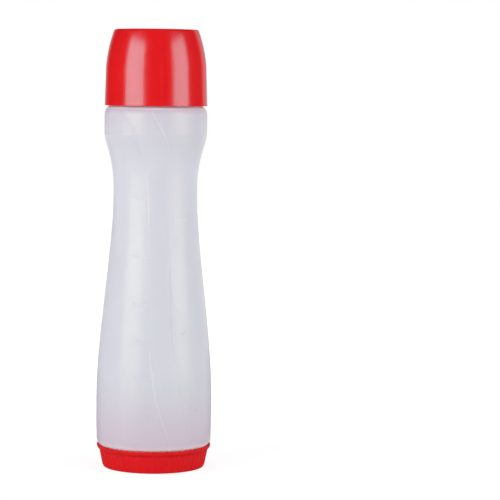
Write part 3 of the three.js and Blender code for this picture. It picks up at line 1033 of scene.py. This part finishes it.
# Heights over which the painted glow under the overcap's edge fades in
PAINTED_UNDER_CAP_GLOW_SPAN = (BAND_TOP + 4.6, BAND_TOP + 6)
BRIGHTEST = 0.95
MILKY_SCATTER = 0.6
# Painted light: the marks, which don't scatter light, are made paler to make up for their darker shading
MARKS_PAINTED_LIFT = 1.12
# The overcap's flat top is scuffed matt by standing on it
SCUFFED_TOP = (OVERCAP_TOP - 0.4, OVERCAP_TOP - 0.1)
MATT_TOP = 0.35


def milky_plastic(name, scatter, lift=1.0):
    """Blow-moulded polyethylene: it scatters light in its wall and has a soft sheen. Near the red caps its
    colour holds painted pink light, painted shade and painted glow. lift makes it paler: painted light that
    makes up for the darker shading of the marks.
    """
    milky, thin, base_glow, cap_glow, gap_glow, shoulder_glow = (
        tuple(min(BRIGHTEST, c * lift) for c in colour)
        for colour in MILKY_COLOURS
    )
    finish = Finish(
        name,
        Subsurface_Weight=scatter,
        Subsurface_Radius=(1.0, 0.95, 1.0),
        Subsurface_Scale=0.004,
        Specular_Tint=(1.0, 0.95, 0.7, 1.0),
        IOR=1.5,
    )
    clouds = finish.spread(finish.noise(26, 2, 2.5), 0, 1)
    plain = finish.blend(clouds, milky, thin)
    # Painted glow at the heel, giving way to the base cap's painted pink light
    heel = finish.blend(finish.height(*PAINTED_HEEL_GLOW_SPAN), gap_glow, base_glow)
    # The base cap's painted pink light fades out upwards
    low = finish.blend(finish.height(*PAINTED_BASE_GLOW_SPAN), heel, plain)
    # The overcap's painted pink light fades in upwards
    high = finish.blend(finish.height(*PAINTED_CAP_GLOW_SPAN), low, cap_glow)
    # Painted shade with pink light just above the band
    top = finish.blend(finish.height(*PAINTED_SHOULDER_GLOW_SPAN), high, shoulder_glow)
    # Painted glow under the overcap's edge
    colour = finish.blend(finish.height(*PAINTED_UNDER_CAP_GLOW_SPAN), top, gap_glow)
    finish.link(colour, finish.shader.inputs["Base Color"])
    rough = finish.spread(finish.noise(9, 3, 1.5), 0.29, 0.34)
    finish.link(rough, finish.shader.inputs["Roughness"])
    finish.bump((finish.noise(1.6, 3), 0.006), (finish.noise(14, 2), 0.015))
    return finish.material


def red_plastic(name, colour, deep, rough, ior, depth):
    """Injection-moulded polypropylene, with faint upright draw marks of the given depth."""
    finish = Finish(name, Roughness=rough, IOR=ior, Specular_Tint=GLOSS_TINT)
    clouds = finish.spread(finish.noise(18, 3), 0, 1)
    finish.link(finish.blend(clouds, colour, deep), finish.shader.inputs["Base Color"])
    scuffs = finish.spread(finish.noise(2.2, 5, 14, 0.7), rough - 0.04, rough + 0.06)
    matt_top = finish.spread(finish.height(*SCUFFED_TOP), 0, MATT_TOP, 0, 1)
    total = finish.node("ShaderNodeMath")
    finish.link(scuffs, total.inputs[0])
    finish.link(matt_top, total.inputs[1])
    finish.link(total.outputs[0], finish.shader.inputs["Roughness"])
    finish.bump((finish.noise(0.9, 2, 18), depth), (finish.noise(1.2, 3), depth))
    return finish.material


def white_plastic():
    finish = Finish(
        "white_plastic",
        Roughness=0.35,
        Subsurface_Weight=0.2,
        Subsurface_Radius=(1.0, 1.0, 1.0),
        Subsurface_Scale=0.001,
        IOR=1.49,
    )
    clouds = finish.spread(finish.noise(8, 3), 0, 1)
    colour = finish.blend(clouds, WHITE, WHITE_CLOUD)
    finish.link(colour, finish.shader.inputs["Base Color"])
    finish.bump((finish.noise(0.8, 3), 0.01))
    return finish.material


def silicone():
    finish = Finish(
        "silicone",
        Roughness=0.55,
        Subsurface_Weight=0.5,
        Subsurface_Radius=(1.0, 1.0, 1.0),
        Subsurface_Scale=0.002,
        IOR=1.42,
    )
    clouds = finish.spread(finish.noise(4, 3), 0, 1)
    colour = finish.blend(clouds, SILICONE, SILICONE_CLOUD)
    finish.link(colour, finish.shader.inputs["Base Color"])
    finish.bump((finish.noise(0.5, 3), 0.01))
    return finish.material


# Surroundings
FLOOR_SIZE = 6.0
FLOOR_ALBEDO = 0.8
FLOOR_SHOWN = 0.25
FLOOR_GLOW = 0.85
FLOOR_GLOW_NEAR = 0.12
FLOOR_GLOW_FAR = 0.4
LAMP_HEIGHT = 0.43
LAMP_DISTANCE = 1.0
LAMP_LENGTH = 0.82
LAMPS = {
    "left_softbox": {"azimuth": -50, "width": 0.8, "power": 7.1},
    "right_softbox": {"azimuth": 58, "width": 0.68, "power": 5.0},
    "right_fill": {"azimuth": 80, "width": 0.9, "power": 0.8, "gloss": False},
    "right_rim": {"azimuth": 140, "width": 0.4, "power": 0.5},
    "back_fill": {"azimuth": 190, "width": 0.8, "power": 1.6, "gloss": False},
}
# Levels of the surround in front of the bottle and behind it, and where along Y one becomes the other
FILL_FRONT = 0.4
FILL_BACK = 0.6
FILL_EDGE = (-0.4, 0.5)
GLOSS_FRONT = 0.02
GLOSS_BACK = 0.5
GLOSS_EDGE = (0.75, 0.98)


def seen_directly(tree):
    """1 for rays that show the background itself: from the camera, from gloss and through clear things."""
    path = tree.nodes.new("ShaderNodeLightPath")
    total = path.outputs["Is Camera Ray"]
    for name in ("Is Glossy Ray", "Is Transmission Ray"):
        either = tree.nodes.new("ShaderNodeMath")
        either.operation = "MAXIMUM"
        tree.links.new(total, either.inputs[0])
        tree.links.new(path.outputs[name], either.inputs[1])
        total = either.outputs[0]
    return path, total


def ramp(tree, value, start, end, low, high):
    """The value, from start to end, as a soft step from low to high."""
    node = tree.nodes.new("ShaderNodeMapRange")
    node.interpolation_type = "SMOOTHSTEP"
    limits = {"From Min": start, "From Max": end, "To Min": low, "To Max": high}
    for socket, number in limits.items():
        node.inputs[socket].default_value = number
    tree.links.new(value, node.inputs["Value"])
    return node.outputs["Result"]


def white_or_dim(tree, path, forward):
    """How bright the background is: white to the camera, and to gloss dimmer, least of all in front."""
    gloss = ramp(tree, forward, *GLOSS_EDGE, GLOSS_FRONT, GLOSS_BACK)
    mix = tree.nodes.new("ShaderNodeMix")
    tree.links.new(path.outputs["Is Camera Ray"], mix.inputs["Factor"])
    tree.links.new(gloss, mix.inputs["A"])
    mix.inputs["B"].default_value = 1
    return mix.outputs["Result"]


def make_floor():
    """A white floor: it lights and shades as matt white, and glows so that the camera sees it white."""
    mesh = bpy.data.meshes.new("floor")
    half = FLOOR_SIZE / 2
    corners = [(-half, -half, 0), (half, -half, 0), (half, half, 0), (-half, half, 0)]
    mesh.from_pydata(corners, [], [[0, 1, 2, 3]])
    floor = bpy.data.objects.new("floor", mesh)
    bpy.context.scene.collection.objects.link(floor)
    material = bpy.data.materials.new("floor_white")
    material.use_nodes = True
    tree = material.node_tree
    tree.nodes.clear()
    output = tree.nodes.new("ShaderNodeOutputMaterial")
    path, direct = seen_directly(tree)
    place = tree.nodes.new("ShaderNodeTexCoord")
    distance = tree.nodes.new("ShaderNodeVectorMath")
    distance.operation = "LENGTH"
    tree.links.new(place.outputs["Object"], distance.inputs[0])
    glow_level = ramp(tree, distance.outputs["Value"], FLOOR_GLOW_NEAR, FLOOR_GLOW_FAR, FLOOR_GLOW, 1.0)
    parts = tree.nodes.new("ShaderNodeSeparateXYZ")
    tree.links.new(place.outputs["Object"], parts.inputs[0])
    level = tree.nodes.new("ShaderNodeMath")
    level.operation = "MULTIPLY"
    tree.links.new(glow_level, level.inputs[0])
    tree.links.new(white_or_dim(tree, path, parts.outputs["Y"]), level.inputs[1])
    glow = tree.nodes.new("ShaderNodeEmission")
    tree.links.new(level.outputs[0], glow.inputs["Strength"])
    shown = tree.nodes.new("ShaderNodeBsdfDiffuse")
    shown.inputs["Color"].default_value = (*[FLOOR_ALBEDO * FLOOR_SHOWN] * 3, 1)
    both = tree.nodes.new("ShaderNodeAddShader")
    tree.links.new(glow.outputs[0], both.inputs[0])
    tree.links.new(shown.outputs[0], both.inputs[1])
    matt = tree.nodes.new("ShaderNodeBsdfDiffuse")
    matt.inputs["Color"].default_value = (*[FLOOR_ALBEDO] * 3, 1)
    mix = tree.nodes.new("ShaderNodeMixShader")
    tree.links.new(direct, mix.inputs[0])
    tree.links.new(matt.outputs[0], mix.inputs[1])
    tree.links.new(both.outputs[0], mix.inputs[2])
    tree.links.new(mix.outputs[0], output.inputs["Surface"])
    mesh.materials.append(material)


def make_world():
    """A white surround for the camera, and a plain fill, brighter from behind, for the object."""
    world = bpy.data.worlds.new("studio")
    bpy.context.scene.world = world
    world.use_nodes = True
    tree = world.node_tree
    tree.nodes.clear()
    output = tree.nodes.new("ShaderNodeOutputWorld")
    place = tree.nodes.new("ShaderNodeTexCoord")
    parts = tree.nodes.new("ShaderNodeSeparateXYZ")
    tree.links.new(place.outputs["Generated"], parts.inputs[0])
    forward = parts.outputs["Y"]
    path, direct = seen_directly(tree)
    fill = tree.nodes.new("ShaderNodeBackground")
    tree.links.new(ramp(tree, forward, *FILL_EDGE, FILL_FRONT, FILL_BACK), fill.inputs["Strength"])
    shown = tree.nodes.new("ShaderNodeBackground")
    tree.links.new(white_or_dim(tree, path, forward), shown.inputs["Strength"])
    for node in (fill, shown):
        node.inputs["Color"].default_value = (1, 1, 1, 1)
    mix = tree.nodes.new("ShaderNodeMixShader")
    tree.links.new(direct, mix.inputs[0])
    tree.links.new(fill.outputs[0], mix.inputs[1])
    tree.links.new(shown.outputs[0], mix.inputs[2])
    tree.links.new(mix.outputs[0], output.inputs["Surface"])


def make_lamp(name, azimuth, width, power, gloss=True):
    """A tall softbox that faces the bottle from the given angle, which runs from the front towards +X."""
    light = bpy.data.lights.new(name, "AREA")
    light.shape = "RECTANGLE"
    light.size = width
    light.size_y = LAMP_LENGTH
    light.energy = power
    lamp = bpy.data.objects.new(name, light)
    angle = math.radians(azimuth)
    side, forward = math.sin(angle), -math.cos(angle)
    lamp.location = (LAMP_DISTANCE * side, LAMP_DISTANCE * forward, LAMP_HEIGHT)
    lamp.rotation_euler = (math.radians(90), 0, angle)
    lamp.visible_glossy = gloss
    bpy.context.scene.collection.objects.link(lamp)


CAMERA_DISTANCE = 1.5
CAMERA_HEIGHT = 0.2651
CAMERA_LENS = 158.36
CAMERA_TILT = 4.418
CAMERA_PAN = 2.434
CAMERA_ROLL = -0.61


def make_camera():
    data = bpy.data.cameras.new("camera")
    data.lens = CAMERA_LENS
    data.clip_end = 50
    camera = bpy.data.objects.new("camera", data)
    camera.location = (0, -CAMERA_DISTANCE, CAMERA_HEIGHT)
    turns = (90 - CAMERA_TILT, CAMERA_ROLL, -CAMERA_PAN)
    camera.rotation_euler = [math.radians(a) for a in turns]
    bpy.context.scene.collection.objects.link(camera)
    bpy.context.scene.camera = camera


def main():
    make_camera()
    make_floor()
    make_world()
    for name, lamp in LAMPS.items():
        make_lamp(name, **lamp)
    bpy.context.scene.view_settings.view_transform = "Standard"
    milky = milky_plastic("milky_plastic", MILKY_SCATTER)
    overcap_red = red_plastic("red_plastic", **OVERCAP_FINISH)
    base_red = red_plastic("red_plastic_base", **BASE_FINISH)
    white = white_plastic()
    soft = silicone()
    make_bottle(milky)
    # The marks get a paler copy of the milky finish: painted light over their shading
    make_marks(milky_plastic("milky_marks_painted_paler", 0.0, MARKS_PAINTED_LIFT))
    make_base_cap(base_red)
    make_ring("base_gasket", "base_seal", BASE_SEAL_WIDTH, 0.3, soft, "silicone", "base_seal")
    make_ring("neck_gasket", "neck_seal", NECK_SEAL_WIDTH, 0.3, soft, "silicone", "neck_seal")
    make_collar(white)
    make_valve(soft)
    retainer_width = VALVE_RADIUS - RETAINER_BORE
    make_ring("valve_ring", "valve_retainer", retainer_width, 0.3, white, "white_plastic", "nozzle_collar")
    make_overcap(overcap_red)


main()
